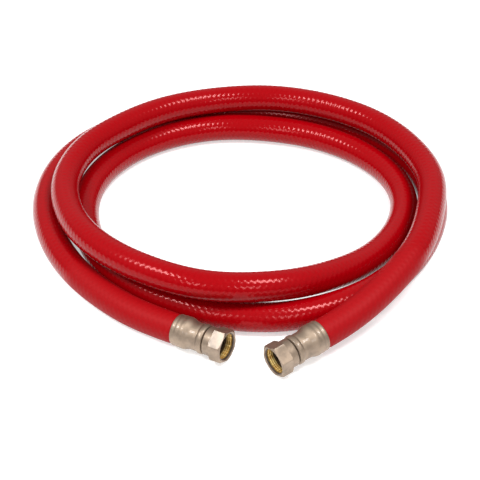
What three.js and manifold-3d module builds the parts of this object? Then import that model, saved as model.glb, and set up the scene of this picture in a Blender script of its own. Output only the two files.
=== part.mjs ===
import * as THREE from "three";
import { mergeVertices } from "three/addons/utils/BufferGeometryUtils.js";
import Module from "manifold-3d";

const wasm = await Module();
wasm.setup();

// Dishwasher supply line: about six feet of braid-reinforced hose with a crimped,
// swivelling compression nut at each end, lying loosely coiled on a flat surface.
// Millimetres, +Z up. The origin is on the surface, under the middle of the coil's outer box.

// Hose
const hoseDiameter = 15.8;
const hoseBore = 9.5;
const hoseSides = 12;
const hoseSteps = 80;

// Clearance between pieces that touch or run on each other
const gap = 0.3;

// Ferrule, the crimped shell over each hose end; places along it are measured from its rear edge
const ferruleWall = 0.7;
const ferruleLength = 18.2;
const ferruleEntry = 8.25;
const ferruleLip = 0.5;
const bulgeRadius = 8.5;
const bulgeStart = 3.2;
const bulgeEnd = 6.6;
const waistRadius = 7.3;
const waistStart = 10.6;
const beadRadius = 7.85;
const beadLength = 2.9;
const beadRound = 0.6;
const frontWall = 2.6;

// Stem, the barbed tube that the hose is squeezed onto, with the head that the nut pulls on
const stemBore = 6.2;
const stemInset = 1.5;
const barbCount = 4;
const barbDepth = 0.35;
const barbRun = 10.8;
const neckRadius = 5.0;
const headRadius = 6.2;
const headThickness = 1.2;

// Seat washer, the soft cone in front of the stem's head
const washerThickness = 1.6;
const washerRear = 6.0;
const washerFront = 5.2;
const washerHole = 7.0;

// How far the squeezed end is rooted in the free hose's wall, and a cutter passes its face
const hoseRoot = 4;
const cutOver = 1;

// Swivel nut: a round collar behind a hexagon, threaded for a 9/16 inch compression end. It
// runs just in front of the ferrule, with a little play.
const nutPlay = 0.39;
const nutAcrossFlats = 15.875;
const nutCollarRadius = 7.5;
const nutCollarLength = 4.2;
const nutHexLength = 7.0;
const nutBackWall = 1.6;
const nutChamfer = 0.6;
const nutFrontCircle = 8.3;
const threadMinor = 13.2;
const threadMajor = 14.3;
const nutSides = 36;
const roundSides = 32;

// Coil: an oval through the innermost run of hose. Each station is one step further round,
// anticlockwise seen from above, and holds how far outside the oval and how far above the
// surface the hose lies there, both in hose diameters.
const coilCentreX = 1.6;
const coilCentreY = 21.55;
const ovalHalfWidth = 91.0;
const ovalHalfDepth = 81.5;
const firstAngle = 300;
const angleStep = 20;
const stations = [
  [2.47, 0.6], [1.75, 1], [1.15, 1.05], [0.96, 1.05], [0.77, 1.04], [0.72, 1.02],
  [0.64, 1.01], [0.59, 0.99], [0.45, 0.97], [0.34, 1], [0.27, 1.02], [0.48, 0.98],
  [0.63, 0.89], [0.71, 0.92], [0.93, 1.06], [1.17, 1.13], [1.41, 1.11], [1.18, 0.94],
  [0.57, 0.48], [0.18, 0.11], [0.07, 0], [0.09, 0], [0.05, 0], [-0.03, 0],
  [-0.08, 0], [-0.11, 0], [-0.02, 0], [-0.02, 0], [-0.05, 0], [-0.08, 0],
  [-0.05, 0], [0.13, 0], [0.5, 0], [0.96, 0], [1.38, 0], [1.64, 0],
  [1.55, 0], [1.31, 0], [1.13, 0], [1.15, 0], [1.17, 0], [1.11, 0],
  [1.07, 0], [1.06, 0], [1.15, 0], [1.36, 0], [1.56, 0], [1.5, 0],
  [1.38, 0], [1.38, 0], [1.61, 0], [2.05, 0],
];

// Where each nut's face lies in front of the oval and to the side of its middle
const rightAcross = 14.4;
const rightForward = 61.4;
const leftAcross = -8.1;
const leftForward = 50.4;
const floorGap = 0.1;

// The hose leaves each ferrule straight for this far. The route's length is measured in
// this many steps between two stations.
const firstStraight = 2;
const straightRun = 12;
const routeDivisions = 40;

// Each end: the degrees that it heads in, anticlockwise from +X, that its nose is lifted by,
// and that the nut is turned about its own axis
const ends = {
  right: { across: rightAcross, forward: rightForward, heading: 216.2, lift: -5, nutTurn: -6 },
  left: { across: leftAcross, forward: leftForward, heading: -30.8, lift: 2.4, nutTurn: 6 },
};

// Worked out from the sizes above
const hoseRadius = hoseDiameter / 2;
const nutLength = nutCollarLength + nutHexLength;
const nutRear = ferruleLength + nutPlay;
const fittingLength = nutRear + nutLength;
const nutCorner = nutAcrossFlats / 2 / Math.cos(Math.PI / 6);
const stemRadius = hoseBore / 2 - gap;
const headRear = nutRear + nutBackWall + gap;
const washerRearFace = headRear + headThickness + gap;
const coilCentre = new THREE.Vector3(coilCentreX, coilCentreY, 0);

const finishes = {
  hose: { color: 0xb01418, roughness: 0.28, metalness: 0 },
  nickel: { color: 0xb9a08a, roughness: 0.3, metalness: 1 },
  brass: { color: 0xb98a3c, roughness: 0.35, metalness: 1 },
  rubber: { color: 0x1d1c1b, roughness: 0.8, metalness: 0 },
};

function material(finish) {
  return new THREE.MeshStandardMaterial(finishes[finish]);
}

// A closed body from a three.js shape, ready to be joined or cut
function solid(geometry) {
  const bare = geometry.clone();
  bare.deleteAttribute("normal");
  bare.deleteAttribute("uv");
  const merged = mergeVertices(bare);
  const index = merged.index.array;
  const triVerts = [];
  for (let i = 0; i < index.length; i += 3) {
    const [a, b, c] = [index[i], index[i + 1], index[i + 2]];
    if (a !== b && b !== c && c !== a) {
      triVerts.push(a, b, c);
    }
  }
  const vertProperties = new Float32Array(merged.attributes.position.array);
  return new wasm.Manifold(new wasm.Mesh({
    numProp: 3,
    vertProperties,
    triVerts: new Uint32Array(triVerts),
  }));
}

function geometryOf(body) {
  const mesh = body.getMesh();
  const geometry = new THREE.BufferGeometry();
  geometry.setAttribute("position", new THREE.BufferAttribute(mesh.vertProperties, 3));
  geometry.setIndex(new THREE.BufferAttribute(mesh.triVerts, 1));
  geometry.computeVertexNormals();
  return geometry;
}

// A ring turned about the +X axis from an outline of [along, radius] points that closes on itself
function turned(outline, sides) {
  const points = outline.map(([along, radius]) => new THREE.Vector2(radius, along));
  return new THREE.LatheGeometry([...points, points[0]], sides).rotateZ(-Math.PI / 2);
}

// A full round turned about the +X axis from an outline that starts and ends on it
function turnedRound(outline, sides) {
  const points = outline.map(([along, radius]) => new THREE.Vector2(radius, along));
  return new THREE.LatheGeometry(points, sides).rotateZ(-Math.PI / 2);
}

// Both ends of the hexagon and the ferrule's bulge clear the surface
function noseHeight(lift) {
  const rise = Math.sin(THREE.MathUtils.degToRad(lift));
  const behind = fittingLength - (bulgeStart + bulgeEnd) / 2;
  return floorGap + Math.max(nutCorner, nutCorner + nutHexLength * rise, bulgeRadius + behind * rise);
}

// Place and direction of one fitting: its own +X runs from the ferrule's rear edge to the nose
function fittingFrame({ across, forward, heading, lift }) {
  const nose = new THREE.Vector3(across, -ovalHalfDepth - forward, noseHeight(lift)).add(coilCentre);
  const turn = new THREE.Euler(
    0,
    -THREE.MathUtils.degToRad(lift),
    THREE.MathUtils.degToRad(heading),
    "ZYX",
  );
  const axis = new THREE.Vector3(1, 0, 0).applyEuler(turn);
  const rear = nose.clone().addScaledVector(axis, -fittingLength);
  return { rear, axis, turn };
}

function hosePoint(station, i) {
  const [outward, lift] = station;
  const angle = THREE.MathUtils.degToRad(firstAngle + i * angleStep);
  return new THREE.Vector3(
    (ovalHalfWidth + outward * hoseDiameter) * Math.cos(angle),
    (ovalHalfDepth + outward * hoseDiameter) * Math.sin(angle),
    hoseRadius + lift * hoseDiameter,
  ).add(coilCentre);
}

// The hose's centreline from the right ferrule round the coil to the left one
function hoseRoute(right, left) {
  const leave = ({ rear, axis }) => [gap, firstStraight, straightRun].map(
    (behind) => rear.clone().addScaledVector(axis, -behind),
  );
  const points = [...leave(right), ...stations.map(hosePoint), ...leave(left).reverse()];
  const route = new THREE.CatmullRomCurve3(points, false, "centripetal");
  route.arcLengthDivisions = routeDivisions * points.length;
  return route;
}

// The squeezed stretch inside the ferrule, rooted in the wall of the free hose behind it
function squeezedEnd() {
  const rootOuter = ferruleEntry - ferruleWall - gap;
  const rootInner = hoseBore / 2 + gap;
  const front = ferruleLength - frontWall - gap;
  return turned([
    [-hoseRoot, rootInner],
    [-2 * gap, rootInner],
    [-gap, hoseBore / 2],
    [front, hoseBore / 2],
    [front, waistRadius - ferruleWall - gap],
    [waistStart, waistRadius - ferruleWall - gap],
    [bulgeEnd, bulgeRadius - ferruleWall - gap],
    [bulgeStart, bulgeRadius - ferruleWall - gap],
    [0, rootOuter],
    [-hoseRoot, rootOuter],
  ].reverse(), roundSides);
}

function makeHose(right, left) {
  const section = new THREE.Shape().absarc(0, 0, hoseRadius, 0, 2 * Math.PI);
  section.holes.push(new THREE.Path().absarc(0, 0, hoseBore / 2, 0, 2 * Math.PI, true));
  const tube = new THREE.ExtrudeGeometry(section, {
    steps: hoseSteps,
    curveSegments: hoseSides / 2,
    extrudePath: hoseRoute(right, left),
  });
  let body = solid(tube);
  for (const { rear, turn } of [right, left]) {
    const placed = new THREE.Matrix4().makeRotationFromEuler(turn).setPosition(rear);
    body = body.add(solid(squeezedEnd().applyMatrix4(placed)));
  }
  const hose = new THREE.Mesh(geometryOf(body), material("hose"));
  hose.name = "hose";
  return hose;
}

// A thin shell: wide where it swallows the hose, bulged, crimped down to a waist, and closed by
// a beaded front wall round the stem's neck
function ferruleGeometry() {
  const inside = (radius) => radius - ferruleWall;
  const hole = neckRadius + gap;
  const beadStart = ferruleLength - beadLength;
  const wallStart = ferruleLength - frontWall;
  return turned([
    [0, inside(ferruleEntry)],
    [0, ferruleEntry - 0.5 * ferruleWall],
    [ferruleLip, ferruleEntry],
    [bulgeStart, bulgeRadius],
    [bulgeEnd, bulgeRadius],
    [waistStart, waistRadius],
    [beadStart, waistRadius],
    [beadStart + beadRound, beadRadius],
    [ferruleLength - beadRound, beadRadius],
    [ferruleLength, beadRadius - beadRound],
    [ferruleLength, hole],
    [wallStart, hole],
    [wallStart, inside(waistRadius)],
    [waistStart, inside(waistRadius)],
    [bulgeEnd, inside(bulgeRadius)],
    [bulgeStart, inside(bulgeRadius)],
  ], roundSides);
}

// Saw-tooth barbs that lean away from the hose's pull, then the neck and the head
function stemGeometry() {
  const bore = stemBore / 2;
  const pitch = barbRun / barbCount;
  const outline = [[stemInset, bore]];
  for (let i = 0; i < barbCount; i += 1) {
    const start = stemInset + i * pitch;
    outline.push([start, stemRadius - barbDepth]);
    outline.push([start + pitch, stemRadius]);
  }
  const neckStart = ferruleLength - frontWall;
  outline.push([neckStart, stemRadius - barbDepth]);
  outline.push([neckStart, neckRadius]);
  outline.push([headRear, neckRadius]);
  outline.push([headRear, headRadius]);
  outline.push([headRear + headThickness, headRadius]);
  outline.push([headRear + headThickness, bore]);
  return turned(outline, roundSides);
}

function washerGeometry() {
  return turned([
    [washerRearFace, washerHole / 2],
    [washerRearFace, washerRear],
    [washerRearFace + washerThickness, washerFront],
    [washerRearFace + washerThickness, washerHole / 2],
  ], roundSides);
}

function hexPrism(start, length) {
  const corners = [];
  for (let i = 0; i < 6; i += 1) {
    const angle = (i * Math.PI) / 3;
    corners.push(new THREE.Vector2(nutCorner * Math.cos(angle), nutCorner * Math.sin(angle)));
  }
  return new THREE.ExtrudeGeometry(new THREE.Shape(corners), { depth: length, bevelEnabled: false })
    .rotateY(Math.PI / 2)
    .translate(start, 0, 0);
}

// Measured from its own rear face: the hexagon is chamfered front and back, the collar has a
// broken edge, and the bore is stepped from the neck's hole to the threaded mouth
function nutGeometry() {
  const flat = nutAcrossFlats / 2;
  const envelope = turnedRound([
    [0, 0],
    [0, nutCollarRadius],
    [nutCollarLength, nutCollarRadius],
    [nutCollarLength, flat],
    [nutCollarLength + nutChamfer, nutCorner],
    [nutLength - nutChamfer, nutCorner],
    [nutLength, nutFrontCircle],
    [nutLength, 0],
  ], nutSides);
  const collar = turnedRound([
    [0, 0],
    [0, nutCollarRadius - nutChamfer],
    [nutChamfer, nutCollarRadius],
    [nutCollarLength + nutChamfer, nutCollarRadius],
    [nutCollarLength + nutChamfer, 0],
  ], nutSides);
  const bore = turnedRound([
    [-cutOver, 0],
    [-cutOver, neckRadius + gap],
    [nutBackWall, neckRadius + gap],
    [nutBackWall, threadMinor / 2],
    [nutLength - nutChamfer, threadMinor / 2],
    [nutLength, threadMajor / 2],
    [nutLength + cutOver, threadMajor / 2],
    [nutLength + cutOver, 0],
  ], nutSides);
  return geometryOf(
    solid(hexPrism(nutCollarLength, nutHexLength))
      .intersect(solid(envelope))
      .add(solid(collar))
      .subtract(solid(bore)),
  );
}

function piece(name, geometry, finish) {
  const mesh = new THREE.Mesh(geometry, material(finish));
  mesh.name = name;
  return mesh;
}

function makeFitting(side, frame, nutTurn) {
  const fitting = new THREE.Group();
  fitting.position.copy(frame.rear);
  fitting.rotation.copy(frame.turn);
  fitting.add(piece(`${side}_ferrule`, ferruleGeometry(), "nickel"));
  fitting.add(piece(`${side}_stem`, stemGeometry(), "brass"));
  fitting.add(piece(`${side}_seat_washer`, washerGeometry(), "rubber"));
  const nut = piece(`${side}_swivel_nut`, nutGeometry(), "nickel");
  nut.position.x = nutRear;
  nut.rotation.x = THREE.MathUtils.degToRad(nutTurn);
  fitting.add(nut);
  return fitting;
}

const rightFrame = fittingFrame(ends.right);
const leftFrame = fittingFrame(ends.left);
const supplyLine = new THREE.Group();
supplyLine.add(makeHose(rightFrame, leftFrame));
supplyLine.add(makeFitting("right", rightFrame, ends.right.nutTurn));
supplyLine.add(makeFitting("left", leftFrame, ends.left.nutTurn));

export default supplyLine;
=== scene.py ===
import math

import bpy
from mathutils import Euler, Matrix, Vector


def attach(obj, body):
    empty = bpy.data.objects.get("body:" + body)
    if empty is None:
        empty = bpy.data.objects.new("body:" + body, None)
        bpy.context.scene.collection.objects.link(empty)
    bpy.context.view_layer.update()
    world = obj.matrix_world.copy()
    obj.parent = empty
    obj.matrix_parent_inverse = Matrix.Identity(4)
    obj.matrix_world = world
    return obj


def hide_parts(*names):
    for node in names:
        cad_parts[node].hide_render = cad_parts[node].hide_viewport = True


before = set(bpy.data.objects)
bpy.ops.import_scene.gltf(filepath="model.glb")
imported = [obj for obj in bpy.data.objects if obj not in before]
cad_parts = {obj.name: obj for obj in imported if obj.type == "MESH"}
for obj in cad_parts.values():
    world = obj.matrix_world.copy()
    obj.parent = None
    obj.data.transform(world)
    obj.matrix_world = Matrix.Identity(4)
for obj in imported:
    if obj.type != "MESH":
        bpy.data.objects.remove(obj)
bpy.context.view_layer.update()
bpy.ops.object.select_all(action="DESELECT")

# Camera. It stands in front of the side where both ends come out of the coil, and looks down
# on the line from 36 degrees above the surface, through a long lens. Sizes are in millimetres
# all through, and mm takes them to metres.
mm = 0.001
camera_elevation = math.radians(36)
camera_distance = 801.06 * mm
camera_lens = 106.875
camera_sensor = 36
camera_aim = Vector((-0.3, -6.26, 0)) * mm
camera_back = Vector((0, -math.cos(camera_elevation), math.sin(camera_elevation)))
bpy.ops.object.camera_add(
    location=camera_aim + camera_back * camera_distance,
    rotation=(math.pi / 2 - camera_elevation, 0, 0),
)
camera = bpy.context.object
camera.data.sensor_width = camera_sensor
camera.data.lens = camera_lens
bpy.context.scene.camera = camera


# Stems. Each end of the line is built on a brass tube, turned on a lathe, with barbs that the
# hose is pressed over and a head that the nut pulls on. Both are carried over as they are, in
# bare brass with fine tool marks running round them.

# An end's nose is the middle of its nut's mouth. Its axis leaves through the nose, and its
# heading, its lift off the level and its nut's turn are in degrees.
fittings = {
    "right": {"nose": (16.0, -121.35, 9.2654), "heading": 216.2, "lift": -5.0, "nut_turn": -6.0},
    "left": {"nose": (-6.5, -110.35, 9.6423), "heading": -30.8, "lift": 2.4, "nut_turn": 6.0},
}
fitting_length = 29.79
tool_mark_scale = 2600
for side, fitting in fittings.items():
    fitting["turn"] = Euler((0, -math.radians(fitting["lift"]), math.radians(fitting["heading"])))
    fitting["axis"] = fitting["turn"].to_matrix() @ Vector((1, 0, 0))
    fitting["rear"] = (Vector(fitting["nose"]) - fitting["axis"] * fitting_length) * mm
    fitting["place"] = Matrix.LocRotScale(fitting["rear"], fitting["turn"], None)


class Value:
    """What one socket gives. Maths written with it adds the nodes that work it out."""

    def __init__(self, nodes, socket):
        self.nodes = nodes
        self.socket = socket

    def math(self, operation, *values):
        return self.nodes.node("ShaderNodeMath", {"operation": operation}, dict(enumerate(values)))

    def __add__(self, other):
        return self.math("ADD", self, other)

    def __sub__(self, other):
        return self.math("SUBTRACT", self, other)

    def __rsub__(self, other):
        return self.math("SUBTRACT", other, self)

    def __mul__(self, other):
        return self.math("MULTIPLY", self, other)

    __radd__ = __add__
    __rmul__ = __mul__

    def cosine(self):
        return self.math("COSINE", self)

    def ramp(self, low, high):
        """0 where this is at low or less, 1 at high or more, and smooth between."""
        return self.nodes.node(
            "ShaderNodeMapRange",
            {"interpolation_type": "SMOOTHSTEP"},
            {"Value": self, "From Min": low, "From Max": high},
        )


class Nodes:
    """The nodes of a material or of the sky, which are added one by one."""

    def __init__(self, tree):
        self.tree = tree
        self.tree.nodes.clear()

    def node(self, kind, settings=(), inputs=(), output=0):
        made = self.tree.nodes.new(kind)
        for name, value in dict(settings).items():
            setattr(made, name, value)
        for name, value in dict(inputs).items():
            if isinstance(value, Value):
                self.tree.links.new(value.socket, made.inputs[name])
            else:
                made.inputs[name].default_value = value
        return Value(self, made.outputs[output]) if made.outputs else None


class Finish(Nodes):
    """A material for one kind of surface."""

    def __init__(self, name):
        self.material = bpy.data.materials.new(name)
        self.material.use_nodes = True
        super().__init__(self.material.node_tree)

    def noise(self, vector, scale, detail=2.0, roughness=0.5):
        inputs = {"Vector": vector, "Scale": scale, "Detail": detail, "Roughness": roughness}
        return self.node("ShaderNodeTexNoise", (), inputs)

    def scaled(self, vector, factors):
        return self.node("ShaderNodeVectorMath", {"operation": "MULTIPLY"}, {0: vector, 1: factors})

    def blend(self, amount, first, second):
        """A colour between two: the first where amount is 0, the second where it is 1."""
        inputs = {0: amount, 6: first, 7: second}
        return self.node("ShaderNodeMix", {"data_type": "RGBA"}, inputs, 2)

    def bump(self, height, distance):
        return self.node("ShaderNodeBump", (), {"Height": height, "Distance": distance})

    def surface(self, inputs):
        shader = self.node("ShaderNodeBsdfPrincipled", (), inputs)
        self.node("ShaderNodeOutputMaterial", (), {"Surface": shader})
        return self.material


class FittingFinish(Finish):
    """A finish on one end's metal or rubber, which knows places along and across that end."""

    def __init__(self, name, side):
        super().__init__(f"{name}_{side}")
        fitting = fittings[side]
        place = {"Location": fitting["rear"], "Rotation": fitting["turn"]}
        place["Vector"] = self.node("ShaderNodeTexCoord", output="Object")
        self.place = self.node("ShaderNodeMapping", {"vector_type": "TEXTURE"}, place)
        self.along = self.node("ShaderNodeSeparateXYZ", (), {0: self.place}, "X")
        spoke = self.scaled(self.place, (0, 1, 1))
        self.radius = self.node(
            "ShaderNodeVectorMath", {"operation": "LENGTH"}, {0: spoke}, "Value"
        )
        self.around = self.node("ShaderNodeVectorMath", {"operation": "NORMALIZE"}, {0: spoke})

    def tool_marks(self):
        """Fine rings, as a lathe's tool leaves them, with nothing changing round the piece."""
        rings = self.node("ShaderNodeCombineXYZ", (), {"X": self.along, "Y": self.radius})
        return self.noise(rings, tool_mark_scale, 3, 0.6)


brass_colour = (0.60, 0.37, 0.085, 1)
brass_dark = (0.36, 0.20, 0.04, 1)
brass_roughness = 0.24
brass_mark_roughness = 0.14
brass_mark_depth = 0.03 * mm
tarnish_scale = 420
tarnish_share = 0.5


def bare_brass(side):
    finish = FittingFinish("bare_brass", side)
    marks = finish.tool_marks()
    tarnish = finish.noise(finish.place, tarnish_scale, 4, 0.6).ramp(0.42, 0.68)
    return finish.surface({
        "Base Color": finish.blend(tarnish * tarnish_share, brass_colour, brass_dark),
        "Metallic": 1,
        "Roughness": brass_roughness + marks * brass_mark_roughness,
        "Normal": finish.bump(marks, brass_mark_depth),
    })


for side in fittings:
    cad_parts[f"{side}_stem"].data.materials[0] = bare_brass(side)


# Seat washers. A soft black rubber cone lies on each stem's head and is squeezed against the
# valve when the nut is done up. It is moulded, so its skin is matt and slightly grained.
rubber_colour = (0.018, 0.017, 0.016, 1)
rubber_bloom = (0.045, 0.042, 0.04, 1)
rubber_bloom_scale = 380
rubber_grain_scale = 3200
rubber_grain_depth = 0.02 * mm
rubber_roughness = 0.62
rubber_grain_roughness = 0.2


def moulded_rubber(side):
    finish = FittingFinish("moulded_rubber", side)
    grain = finish.noise(finish.place, rubber_grain_scale, 3)
    bloom = finish.noise(finish.place, rubber_bloom_scale, 3).ramp(0.4, 0.7)
    return finish.surface({
        "Base Color": finish.blend(bloom, rubber_colour, rubber_bloom),
        "Roughness": rubber_roughness + grain * rubber_grain_roughness,
        "Normal": finish.bump(grain, rubber_grain_depth),
    })


for side in fittings:
    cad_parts[f"{side}_seat_washer"].data.materials[0] = moulded_rubber(side)


# Swivel nuts. Each is cut from hexagonal brass bar, 5/8 inch across its flats, with a round
# collar turned behind the hexagon, a chamfer at both ends and a 9/16-24 thread inside. It is
# nickel plated but for the thread, and goes over the stem before the stem is pressed in.
nut_rear = 18.59
nut_length = 11.2
nut_flats = 15.875
nut_corner = nut_flats / math.sqrt(3)
nut_collar = 4.2
nut_collar_radius = 7.5
nut_back_wall = 1.6
nut_neck_hole = 5.3
nut_front_circle = 8.15
nut_edge = 0.22
nut_edge_steps = 3
half_a_flat = math.radians(30)
thread_minor = 6.6
thread_major = 7.1
thread_root = 6.84
thread_pitch = 1.058
crest_share = 0.45
root_from_share = 0.65
root_to_share = 0.8
round_sides = 72


def put_in_place(piece, place):
    """Leaves the piece's object at the origin, with its place in its mesh."""
    piece.data.transform(place)
    piece.data.update()


def extrude_ring(along, across):
    """Draws the selected ring out by a distance along the axis, then scales it across."""
    bpy.ops.mesh.extrude_region_move(TRANSFORM_OT_translate={"value": (along * mm, 0, 0)})
    bpy.ops.transform.resize(value=(1, across, across))


def turned(name, outline, filled=False, sides=round_sides):
    """A round piece about +X, drawn out ring by ring through [along, radius], and either
    filled at both ends or closed back onto its first ring."""
    start, radius = outline[0]
    bpy.ops.mesh.primitive_circle_add(
        vertices=sides,
        radius=radius * mm,
        fill_type="NGON" if filled else "NOTHING",
        rotation=(0, math.pi / 2, 0),
        location=(start * mm, 0, 0),
    )
    piece = bpy.context.object
    piece.name = name
    bpy.ops.object.transform_apply()
    bpy.ops.object.mode_set(mode="EDIT")
    bpy.ops.mesh.select_all(action="SELECT")
    if not filled:
        outline = [*outline, outline[0]]
    for (x, r), (next_x, next_r) in zip(outline, outline[1:]):
        extrude_ring(next_x - x, next_r / r)
    bpy.ops.mesh.select_all(action="SELECT")
    bpy.ops.mesh.remove_doubles(threshold=0.001 * mm)
    bpy.ops.mesh.normals_make_consistent(inside=False)
    bpy.ops.object.mode_set(mode="OBJECT")
    return piece


def boolean(piece, operation, tool):
    """Joins, cuts or crosses the piece with a tool, which is used up."""
    bpy.context.view_layer.objects.active = piece
    cut = piece.modifiers.new("cut", "BOOLEAN")
    cut.operation = operation
    cut.object = tool
    cut.solver = "EXACT"
    bpy.ops.object.modifier_apply(modifier=cut.name)
    bpy.data.objects.remove(tool)


def break_edges(piece, width, segments, over):
    bpy.context.view_layer.objects.active = piece
    bevel = piece.modifiers.new("broken_edges", "BEVEL")
    bevel.width = width * mm
    bevel.segments = segments
    bevel.limit_method = "ANGLE"
    bevel.angle_limit = math.radians(over)
    bpy.ops.object.modifier_apply(modifier=bevel.name)


def smooth(piece, over=30):
    bpy.ops.object.select_all(action="DESELECT")
    piece.select_set(True)
    bpy.context.view_layer.objects.active = piece
    bpy.ops.object.shade_smooth_by_angle(angle=math.radians(over))
    bpy.ops.object.select_all(action="DESELECT")


def thread_outline(start, end):
    """The thread along the bore, as rings with wide crests and shallow roots, so that the
    wall looks nearly smooth, as the real one's does."""
    outline = []
    turns = int((end - start) / thread_pitch)
    for i in range(turns):
        x = start + i * thread_pitch
        outline += [
            (x, thread_minor),
            (x + crest_share * thread_pitch, thread_minor),
            (x + root_from_share * thread_pitch, thread_root),
            (x + root_to_share * thread_pitch, thread_root),
        ]
    return outline


def swivel_nut(side):
    middle = nut_collar + (nut_length - nut_collar) / 2
    bpy.ops.mesh.primitive_cylinder_add(
        vertices=6,
        radius=nut_corner * mm,
        depth=(nut_length - nut_collar) * mm,
        rotation=(0, math.pi / 2, 0),
        location=(middle * mm, 0, 0),
    )
    nut = bpy.context.object
    nut.name = f"{side}_nut"
    bpy.ops.object.transform_apply()
    put_in_place(nut, Matrix.Rotation(half_a_flat, 4, "X"))
    break_edges(nut, nut_edge, nut_edge_steps, over=40)
    boolean(nut, "INTERSECT", turned("chamfers", [
        (nut_collar - 1, nut_flats / 2 - 0.9),
        (nut_collar, nut_flats / 2 - 0.1),
        (nut_collar + 0.75, nut_corner + 0.2),
        (nut_length - 0.75, nut_corner + 0.2),
        (nut_length - 0.12, nut_front_circle + 0.05),
        (nut_length, nut_front_circle - 0.15),
        (nut_length + 0.5, nut_front_circle - 0.8),
    ], filled=True))
    boolean(nut, "UNION", turned("collar", [
        (0, nut_collar_radius - 0.6),
        (0.12, nut_collar_radius - 0.35),
        (0.45, nut_collar_radius - 0.04),
        (0.7, nut_collar_radius),
        (nut_collar + 0.5, nut_collar_radius),
    ], filled=True))
    boolean(nut, "DIFFERENCE", turned("bore", [
        (-1, nut_neck_hole),
        (nut_back_wall, nut_neck_hole),
        (nut_back_wall + 0.01, thread_major + 0.1),
        (nut_back_wall + 1.2, thread_major + 0.1),
        *thread_outline(nut_back_wall + 1.5, nut_length - 0.9),
        (nut_length - 0.85, thread_minor),
        (nut_length - 0.2, thread_major + 0.15),
        (nut_length, thread_major + 0.4),
        (nut_length + 1, thread_major + 1.2),
    ], filled=True))
    smooth(nut)
    turn = Matrix.Rotation(math.radians(fittings[side]["nut_turn"]), 4, "X")
    put_in_place(nut, fittings[side]["place"] @ Matrix.Translation((nut_rear * mm, 0, 0)) @ turn)
    return nut


nickel_colour = (0.36, 0.275, 0.205, 1)
nickel_dark = (0.19, 0.147, 0.112, 1)
nickel_roughness = {"right": 0.54, "left": 0.5}
nickel_cloud_scale = 190
nickel_cloud_share = 0.6
nickel_cloud_roughness = 0.08
nickel_mark_roughness = 0.06
nickel_mark_depth = 0.012 * mm
nickel_shine = 0.25
nickel_shine_roughness = 0.1
# The dark brown on the nut's mouth chamfer is painted shade.
chamfer_painted_shade = (0.11, 0.08, 0.065, 1)
# Bright streaks along the nut's bare thread are painted reflections of the lamps.
thread_painted_streak = (1.0, 0.80, 0.36, 1)
thread_brown = (0.72, 0.48, 0.16, 1)
# Deep in the nut's bore the thread is darkened by painted shade.
thread_painted_shade = (0.09, 0.056, 0.028, 1)
painted_streak_scale = 6
bare_across = (7.3 * mm, 7.2 * mm)
bare_from = (fitting_length - 1.1) * mm
bare_to = (nut_rear + 0.4) * mm
bare_fade = 0.3 * mm
painted_shade_depth = ((fitting_length - 3.6) * mm, (fitting_length - 5.2) * mm)
chamfer_across = (7.12 * mm, 7.0 * mm)
chamfer_along = (bare_from - 0.2 * mm, bare_from + 0.1 * mm)


def nickel_plate(side, bare_inside=False):
    finish = FittingFinish("plated_nut" if bare_inside else "plated_ferrule", side)
    marks = finish.tool_marks()
    cloud = finish.noise(finish.place, nickel_cloud_scale, 4, 0.6).ramp(0.35, 0.75)
    colour = finish.blend(cloud * nickel_cloud_share, nickel_colour, nickel_dark)
    roughness = nickel_roughness[side] + cloud * nickel_cloud_roughness
    roughness = roughness + marks * nickel_mark_roughness
    if bare_inside:
        inside = finish.radius.ramp(*bare_across)
        inside = inside * finish.along.ramp(bare_from, bare_from - bare_fade)
        inside = inside * finish.along.ramp(bare_to, bare_to + bare_fade)
        # Painted highlight: bright streaks along the bare thread stand in for the lamps'
        # reflections.
        painted_streaks = finish.noise(finish.around, painted_streak_scale, 1).ramp(0.48, 0.6)
        thread = finish.blend(painted_streaks, thread_brown, thread_painted_streak)
        # Painted shade: the thread turns dark deeper in the bore.
        thread = finish.blend(finish.along.ramp(*painted_shade_depth), thread, thread_painted_shade)
        colour = finish.blend(inside, colour, thread)
        # Painted shade: the mouth's chamfer is drawn dark brown.
        chamfer = finish.radius.ramp(*chamfer_across) * finish.along.ramp(*chamfer_along)
        colour = finish.blend(chamfer, colour, chamfer_painted_shade)
    return finish.surface({
        "Base Color": colour,
        "Metallic": 1,
        "Roughness": roughness,
        "Coat Weight": nickel_shine,
        "Coat Roughness": nickel_shine_roughness,
        "Normal": finish.bump(marks, nickel_mark_depth),
    })


for side in fittings:
    nut = swivel_nut(side)
    nut.data.materials.append(nickel_plate(side, bare_inside=True))
    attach(nut, f"{side}_nut")
    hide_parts(f"{side}_swivel_nut")


# Ferrules. Each is a thin drawn steel cup, nickel plated, that takes in the end of the hose and
# is squeezed in a ring press: it stays wide at its mouth, with a rolled ridge, is pressed down
# to a waist over the stem's barbs, and ends in a rolled bead behind the nut.
ferrule_outline = [
    (0.35, 7.45), (0, 7.62), (0, 7.85), (0.12, 8.05), (0.35, 8.18), (0.7, 8.26), (1.2, 8.27),
    (1.6, 8.22), (2.0, 8.17), (2.35, 8.2), (2.75, 8.32), (3.2, 8.39), (3.7, 8.38), (4.2, 8.31),
    (4.6, 8.3), (5.1, 8.37), (5.7, 8.47), (6.2, 8.5), (6.7, 8.46), (7.4, 8.26), (8.4, 7.9),
    (9.4, 7.55), (10.2, 7.36), (10.9, 7.29), (12.2, 7.27), (13.4, 7.26), (13.9, 7.18),
    (14.3, 7.05), (14.65, 7.05), (14.95, 7.22), (15.15, 7.5), (15.4, 7.72), (15.75, 7.83),
    (16.3, 7.86), (16.9, 7.84), (17.4, 7.74), (17.8, 7.55), (18.05, 7.3), (18.2, 6.95),
    (18.2, 5.3), (15.6, 5.3), (15.6, 6.6), (10.6, 6.6), (6.6, 7.75), (3.2, 7.75), (0.9, 7.5),
]

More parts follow.
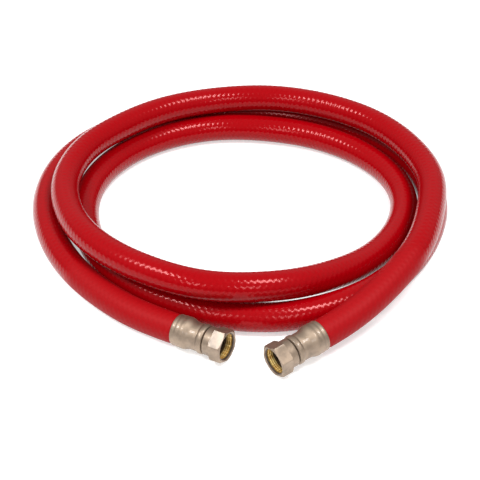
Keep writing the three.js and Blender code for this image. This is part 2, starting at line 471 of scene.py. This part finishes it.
for side in fittings:
    ferrule = turned(f"{side}_crimped_ferrule", ferrule_outline)
    smooth(ferrule, over=35)
    put_in_place(ferrule, fittings[side]["place"])
    ferrule.data.materials.append(nickel_plate(side))
    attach(ferrule, "line")
    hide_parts(f"{side}_ferrule")


# Hose. Six feet of 5/8 inch hose: a rubber tube, a braid of yarn wound over it in two crossing
# spirals, and a thin red vinyl skin drawn down so tight that the braid stands out in it. It
# lies as it was left, coiled nearly three times round, and each end is squeezed in its ferrule.

# A station gives how many diameters the route runs outside the oval and over the surface, and
# the stations stand angle_step degrees apart round the coil, from the right end to the left.
hose_diameter = 15.8
hose_radius = hose_diameter / 2
hose_bore_radius = 4.75
hose_sides = 40
bore_sides = 20
ring_step = 2.5
curve_steps = 24
easing_rounds = 12
coil_centre = Vector((1.6, 21.55, 0))
oval_half_width = 91.0
oval_half_depth = 81.5
first_angle = 300
angle_step = 20
stations = [
    (2.47, 0.6), (1.75, 1), (1.15, 1.05), (0.96, 1.05), (0.77, 1.04), (0.72, 1.02),
    (0.64, 1.01), (0.59, 0.99), (0.45, 0.97), (0.34, 1), (0.27, 1.02), (0.48, 0.98),
    (0.63, 0.89), (0.71, 0.92), (0.93, 1.06), (1.17, 1.13), (1.41, 1.11), (1.18, 0.94),
    (0.57, 0.48), (0.18, 0.11), (0.07, 0), (0.09, 0), (0.05, 0), (-0.03, 0),
    (-0.08, 0), (-0.11, 0), (-0.02, 0), (-0.02, 0), (-0.05, 0), (-0.08, 0),
    (-0.05, 0), (0.13, 0), (0.5, 0), (0.96, 0), (1.38, 0), (1.64, 0),
    (1.55, 0), (1.31, 0), (1.13, 0), (1.15, 0), (1.17, 0), (1.11, 0),
    (1.07, 0), (1.06, 0), (1.15, 0), (1.36, 0), (1.56, 0), (1.5, 0),
    (1.38, 0), (1.38, 0), (1.61, 0), (2.05, 0),
]
straight_run = [0.3, 2, 12]
squeezed_length = 15.2
squeezed_radius = [(0, 7.25), (3.2, 7.5), (6.6, 7.5), (10.6, 6.3), (15.3, 6.3)]
mouth_radius = squeezed_radius[0][1]
mouth_flare = 1.2


def straight_places(fitting, distances):
    return [Vector(fitting["nose"]) - fitting["axis"] * (fitting_length + d) for d in distances]


def station_place(i, outward, lift):
    angle = math.radians(first_angle + i * angle_step)
    return coil_centre + Vector((
        (oval_half_width + outward * hose_diameter) * math.cos(angle),
        (oval_half_depth + outward * hose_diameter) * math.sin(angle),
        hose_radius + lift * hose_diameter,
    ))


def curve_between(before, start, end, after, share):
    """One point of the centripetal curve that runs from start to end."""
    step_before = (start - before).length ** 0.5
    step = (end - start).length ** 0.5
    step_after = (after - end).length ** 0.5
    leave = (start - before) / step_before - (end - before) / (step_before + step)
    leave = (leave + (end - start) / step) * step
    arrive = (end - start) / step - (after - start) / (step + step_after)
    arrive = (arrive + (after - end) / step_after) * step
    bend = -3 * start + 3 * end - 2 * leave - arrive
    twist = 2 * start - 2 * end + leave + arrive
    return start + leave * share + bend * share**2 + twist * share**3


def evenly_spaced(line, step):
    """Points a step apart along a line, with both its ends kept."""
    travelled = [0]
    for a, b in zip(line, line[1:]):
        travelled.append(travelled[-1] + (b - a).length)
    count = round(travelled[-1] / step)
    spaced = []
    at = 0
    for i in range(count + 1):
        goal = travelled[-1] * i / count
        while at < len(line) - 2 and travelled[at + 1] < goal:
            at += 1
        share = (goal - travelled[at]) / (travelled[at + 1] - travelled[at])
        spaced.append(line[at].lerp(line[at + 1], share))
    return spaced


def eased(line, rounds):
    """The line with small changes of bend evened out, as a stiff hose lies."""
    for _ in range(rounds):
        middle = [(a + b * 2 + c) / 4 for a, b, c in zip(line, line[1:], line[2:])]
        line = [line[0], *middle, line[-1]]
    return line


right, left = fittings["right"], fittings["left"]
route = [
    *straight_places(right, straight_run),
    *[station_place(i, *station) for i, station in enumerate(stations)],
    *reversed(straight_places(left, straight_run)),
]
ends = [route[0] * 2 - route[1], *route, route[-1] * 2 - route[-2]]
free_line = [
    curve_between(*ends[i:i + 4], step / curve_steps)
    for i in range(len(route) - 1)
    for step in range(curve_steps)
]
free_line.append(route[-1])
inside_right = straight_places(right, [-squeezed_length])
inside_left = straight_places(left, [-squeezed_length])
centreline = evenly_spaced([*inside_right, *free_line, *inside_left], ring_step)
centreline = eased(centreline, easing_rounds)
hose_length = sum((b - a).length for a, b in zip(centreline, centreline[1:]))


def skin_radius(distance):
    """How far the skin stands from the middle, at a distance from the nearest end."""
    depth = squeezed_length - distance
    if depth <= 0:
        drawn_in = max(0, 1 + depth / mouth_flare) ** 2
        return hose_radius + (mouth_radius - hose_radius) * drawn_in
    for (x, r), (next_x, next_r) in zip(squeezed_radius, squeezed_radius[1:]):
        if depth <= next_x:
            return r + (next_r - r) * (depth - x) / (next_x - x)
    return squeezed_radius[-1][1]


def hose_mesh():
    vertices, faces, lay = [], [], []
    last = len(centreline) - 1

    def add_tube(sides, radius_at, outward):
        first = len(vertices)
        for i, middle in enumerate(centreline):
            ahead = centreline[min(i + 1, last)] - centreline[max(i - 1, 0)]
            across = Vector((0, 0, 1)).cross(ahead).normalized()
            up = ahead.cross(across).normalized()
            for j in range(sides):
                turn = 2 * math.pi * j / sides
                spoke = across * math.cos(turn) + up * math.sin(turn)
                vertices.append((middle + spoke * radius_at(i)) * mm)
        for i in range(last):
            for j in range(sides):
                k = (j + 1) % sides
                a, b = first + i * sides, first + (i + 1) * sides
                corners = [
                    (a + j, i, j),
                    (a + k, i, j + 1),
                    (b + k, i + 1, j + 1),
                    (b + j, i + 1, j),
                ]
                if not outward:
                    corners.reverse()
                faces.append([vertex for vertex, _, _ in corners])
                lay.append([(i * ring_step * mm, around / sides) for _, i, around in corners])
        return first

    def from_end(i):
        return min(i, last - i) * hose_length / last

    skin = add_tube(hose_sides, lambda i: skin_radius(from_end(i)), outward=True)
    bore = add_tube(bore_sides, lambda i: hose_bore_radius, outward=False)
    skin_to_bore = hose_sides // bore_sides
    for ring, facing_back in ((0, True), (last, False)):
        skin_ring, bore_ring = skin + ring * hose_sides, bore + ring * bore_sides
        for j in range(bore_sides):
            k = (j + 1) % bore_sides
            corners = range(j * skin_to_bore, (j + 1) * skin_to_bore + 1)
            rim = [skin_ring + corner % hose_sides for corner in corners]
            face = [*rim, bore_ring + k, bore_ring + j]
            if not facing_back:
                face.reverse()
            faces.append(face)
            lay.append([(ring * ring_step * mm, 0)] * len(face))
    mesh = bpy.data.meshes.new("hose_tube")
    mesh.from_pydata(vertices, [], faces)
    lay_map = mesh.uv_layers.new(name="lay")
    places = [place for face in lay for place in face]
    lay_map.data.foreach_set("uv", [number for place in places for number in place])
    mesh.update()
    return mesh


braid_pitch = 3.2 * mm
braid_strands = 8
braid_height = 0.115 * mm
skin_red = (0.315, 0.0002, 0.0025, 1)
# A darker red in the braid's hollows is painted shade.
skin_hollow_shade = (0.28, 0.0002, 0.002, 1)
skin_worn = (0.33, 0.001, 0.004, 1)
skin_cloud_scale = 22
skin_grain_scale = 1800
worn_share = 0.35
hollow_shade_share = 0.45
grain_height_share = 0.04
skin_roughness = 0.12
grain_roughness = 0.06
cloud_roughness = 0.05
dull_roughness = 0.4
dull_length = 80 * mm
dull_fade = 16 * mm
skin_gloss = 0.3
skin_gloss_tint = (1, 0.46, 0.46, 1)


def hose_skin():
    finish = Finish("hose_skin")
    lay = finish.node("ShaderNodeUVMap", {"uv_map": "lay"})
    along = finish.node("ShaderNodeSeparateXYZ", (), {0: lay}, "X")
    around = finish.node("ShaderNodeSeparateXYZ", (), {0: lay}, "Y")
    lengthwise = (along * (2 * math.pi / braid_pitch)).cosine()
    crosswise = (around * (2 * math.pi * braid_strands)).cosine()
    braid = lengthwise * crosswise * 0.5 + 0.5
    place = finish.node("ShaderNodeTexCoord", output="Object")
    cloud = finish.noise(place, skin_cloud_scale, 3).ramp(0.35, 0.7)
    grain = finish.noise(place, skin_grain_scale, 3)
    # Painted shade: the braid's hollows are drawn a darker red.
    shaded_hollow = (1 - braid).ramp(0.45, 1.0)
    colour = finish.blend(cloud * worn_share, skin_red, skin_worn)
    colour = finish.blend(shaded_hollow * hollow_shade_share, colour, skin_hollow_shade)
    whole = (len(centreline) - 1) * ring_step * mm
    from_end = along.math("MINIMUM", along, whole - along)
    dull = from_end.ramp(dull_length + dull_fade, dull_length)
    roughness = skin_roughness + grain * grain_roughness + cloud * cloud_roughness
    return finish.surface({
        "Base Color": colour,
        "Roughness": roughness + dull * dull_roughness,
        "Specular IOR Level": skin_gloss,
        "Specular Tint": skin_gloss_tint,
        "Normal": finish.bump(braid + grain * grain_height_share, braid_height),
    })


hose = bpy.data.objects.new("red_hose", hose_mesh())
bpy.context.collection.objects.link(hose)
smooth(hose, over=40)
hose.data.materials.append(hose_skin())
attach(hose, "line")
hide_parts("hose")
straight_places(right, [0])[0] * mm
[place * mm for place in centreline]


# Studio. The line lies on a broad white sheet, under a soft sky that is dimmer low down. Four
# broad lamps hang well away from it, two high and two low, and what the skin and the plating
# mirror of them makes the rows of glints.

# A lamp's width and height are degrees as seen from the line. The sheet's glow makes the
# background white, and no lamp does: it is there for the camera, mirrors and glass alone.
floor_size = 12
sheet_white = (0.76, 0.76, 0.76, 1)
sheet_glow = 0.5
lamps = {
    "left_lamp": {"towards": (-0.55, -0.20, 0.81), "wide": 14, "tall": 19, "radiance": 27},
    "right_lamp": {"towards": (0.36, -0.19, 0.91), "wide": 17, "tall": 18, "radiance": 27},
    "low_left_lamp": {"towards": (-0.37, -0.73, 0.57), "wide": 12, "tall": 12, "radiance": 11},
    "low_right_lamp": {"towards": (0.25, -0.78, 0.57), "wide": 12, "tall": 12, "radiance": 11},
}
lamp_distance = 2500 * mm
sky_at_level = 0.14
sky_higher_up = 0.55
sky_full_from = 0.45
bpy.ops.mesh.primitive_plane_add(size=floor_size)
floor = bpy.context.object
floor.name = "floor"
sheet = Finish("white_sheet")
paper = sheet.node("ShaderNodeBsdfDiffuse", (), {"Color": sheet_white})
glow = sheet.node("ShaderNodeEmission", (), {"Strength": sheet_glow})
both = sheet.node("ShaderNodeAddShader", (), {0: paper, 1: glow})
seen = sheet.node("ShaderNodeLightPath", output="Is Camera Ray")
mirrored = sheet.node("ShaderNodeLightPath", output="Is Glossy Ray")
through = sheet.node("ShaderNodeLightPath", output="Is Transmission Ray")
glowing = seen + mirrored + through
looks = sheet.node("ShaderNodeMixShader", (), {0: glowing, 1: paper, 2: both})
sheet.node("ShaderNodeOutputMaterial", (), {"Surface": looks})
floor.data.materials.append(sheet.material)


def breadth(degrees):
    """How broad a lamp is that looks so many degrees wide from the line."""
    return 2 * lamp_distance * math.tan(math.radians(degrees / 2))


for name, lamp in lamps.items():
    towards = Vector(lamp["towards"]).normalized()
    aim = towards.to_track_quat("Z", "X")
    place = camera_aim + towards * lamp_distance
    bpy.ops.object.light_add(type="AREA", location=place, rotation=aim.to_euler())
    light = bpy.context.object
    light.name = name
    wide, tall = breadth(lamp["wide"]), breadth(lamp["tall"])
    lamp_area = math.pi * wide * tall / 4
    light.data.shape = "ELLIPSE"
    light.data.size = wide
    light.data.size_y = tall
    light.data.energy = lamp["radiance"] * math.pi * lamp_area
    light.visible_camera = False

world = bpy.data.worlds.new("soft_sky")
world.use_nodes = True
bpy.context.scene.world = world
sky = Nodes(world.node_tree)
direction = sky.node("ShaderNodeTexCoord", output="Generated")
height = sky.node("ShaderNodeSeparateXYZ", (), {0: direction}, "Z")
strength = sky.node("ShaderNodeMapRange", (), {
    "Value": height,
    "From Min": 0,
    "From Max": sky_full_from,
    "To Min": sky_at_level,
    "To Max": sky_higher_up,
})
background = sky.node("ShaderNodeBackground", (), {"Strength": strength})
sky.node("ShaderNodeOutputWorld", (), {"Surface": background})

bpy.context.scene.view_settings.view_transform = "Standard"
